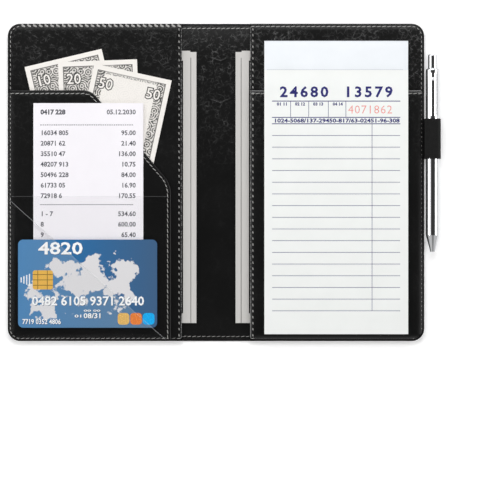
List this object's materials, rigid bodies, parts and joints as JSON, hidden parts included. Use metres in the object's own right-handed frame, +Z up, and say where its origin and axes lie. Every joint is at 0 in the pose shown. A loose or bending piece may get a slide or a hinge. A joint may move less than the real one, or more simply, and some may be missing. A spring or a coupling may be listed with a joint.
{
  "type": "check presenter",
  "caption": "Black leatherette check presenter that folds at a soft spine, with slip and card pockets, a guest-check pad and a click pen in an elastic loop.",
  "frame": {"origin": "on the table under the middle of the spine, with the folder lying open, inside up", "axes": "+X towards the free edge of the back cover with the pen loop, +Y towards the head of the folder, +Z up off the table"},
  "size_m": [0.3119, 0.2286, 0.0135],
  "materials": {
    "black_leather": "matt pebbled leatherette",
    "black_lining": "smooth leatherette",
    "black_binding": "rolled leatherette edge",
    "cover_foam": "soft foam sheet",
    "greyboard": "dense greyboard",
    "grey_plastic": "satin light grey",
    "clear_vinyl": "clear soft vinyl",
    "black_elastic": "ribbed elastic",
    "pad_chipboard": "grey chipboard",
    "check_paper": "uncoated printed paper",
    "stub_paper": "uncoated paper",
    "padding_compound": "dried padding glue",
    "note_paper": "engraved paper",
    "receipt_paper": "thermal paper",
    "card_plastic": "printed gloss plastic",
    "chip_plate": "gold plated",
    "pen_chrome": "polished",
    "spring_steel": "drawn wire",
    "refill_brass": "drawn tube",
    "cam_plastic": "moulded acetal",
    "pale_thread": "waxed polyester thread",
    "form_ink": "dark blue printing ink on paper",
    "serial_ink": "red numbering ink on paper",
    "receipt_ink": "grey thermal print on paper",
    "card_ink": "white print on plastic"
  },
  "bodies": {
    "back_half": {"back_cover_skin": "black_leather", "back_cover_foam": "cover_foam", "back_cover_board": "greyboard", "back_lining": "black_lining", "back_strip_lining": "black_lining", "back_side_rail": "grey_plastic", "pad_pocket": "black_lining", "pad_pocket_binding": "black_binding", "pen_loop": "black_elastic"},
    "spine": {"spine_skin": "black_leather", "spine_strip_lining": "black_lining"},
    "front_half": {"front_cover_skin": "black_leather", "front_cover_foam": "cover_foam", "front_cover_board": "greyboard", "front_lining": "black_lining", "front_strip_lining": "black_lining", "front_side_rail": "grey_plastic", "currency_pocket": "black_lining", "currency_pocket_binding": "black_binding", "receipt_pocket": "clear_vinyl", "card_pocket": "clear_vinyl"},
    "guest_pad": {"pad_board": "pad_chipboard", "pad_block": "check_paper", "pad_stub_cover": "stub_paper", "pad_glue_edge": "padding_compound"},
    "loose_check": {"top_check": "check_paper"},
    "pen": {"pen_upper_barrel": "pen_chrome", "pen_ring": "pen_chrome", "pen_lower_barrel": "pen_chrome", "pen_nose": "pen_chrome", "pen_collar": "pen_chrome", "pen_clip": "pen_chrome", "pen_spring": "spring_steel"},
    "pen_push": {"pen_button": "pen_chrome"},
    "pen_insert": {"pen_refill": "refill_brass", "pen_cam": "cam_plastic"},
    "note_left": {"banknote_left": "note_paper"},
    "note_middle": {"banknote_middle": "note_paper"},
    "note_right": {"banknote_right": "note_paper"},
    "till_receipt": {"receipt": "receipt_paper"},
    "card": {"payment_card": "card_plastic", "card_chip": "chip_plate"}
  },
  "joints": [
    {"name": "spine_fold", "type": "hinge", "parent": "back_half", "child": "spine", "pos_m": [0.0078, 0, 0.00165], "axis": [0, 1, 0], "range_deg": [0, 90]},
    {"name": "cover_fold", "type": "hinge", "parent": "spine", "child": "front_half", "pos_m": [-0.0078, 0, 0.00165], "axis": [0, 1, 0], "range_deg": [0, 90]},
    {"name": "pad_slide", "type": "slide", "parent": "back_half", "child": "guest_pad", "axis": [0, 1, 0], "range_m": [0, 0.18]},
    {"name": "check_flip", "type": "hinge", "parent": "guest_pad", "child": "loose_check", "pos_m": [0.0865, 0.0805, 0.00887], "axis": [-1, 0, 0], "range_deg": [0, 165]},
    {"name": "pen_slide", "type": "slide", "parent": "back_half", "child": "pen", "axis": [0, 1, 0], "range_m": [0, 0.097]},
    {"name": "pen_click", "type": "slide", "parent": "pen", "child": "pen_push", "axis": [0, -1, 0], "range_m": [0, 0.004], "stiffness_N_per_m": 150},
    {"name": "refill_feed", "type": "slide", "parent": "pen", "child": "pen_insert", "axis": [0, -1, 0], "range_m": [0, 0.004], "deforming": ["pen_spring"]},
    {"name": "note_left_slide", "type": "slide", "parent": "front_half", "child": "note_left", "axis": [-0.23, 0.9732, 0], "range_m": [0, 0.12]},
    {"name": "note_middle_slide", "type": "slide", "parent": "front_half", "child": "note_middle", "axis": [-0.0366, 0.9993, 0], "range_m": [0, 0.12]},
    {"name": "note_right_slide", "type": "slide", "parent": "front_half", "child": "note_right", "axis": [0.213, 0.977, 0], "range_m": [0, 0.12]},
    {"name": "receipt_slide", "type": "slide", "parent": "front_half", "child": "till_receipt", "axis": [0, 1, 0], "range_m": [0, 0.1]},
    {"name": "card_slide", "type": "slide", "parent": "front_half", "child": "card", "axis": [0, 1, 0], "range_m": [0, 0.078]}
  ],
  "couplings": [
    {"joint": "cover_fold", "follows": "spine_fold", "ratio": 1},
    {"joint": "refill_feed", "follows": "pen_click", "ratio": 1}
  ]
}
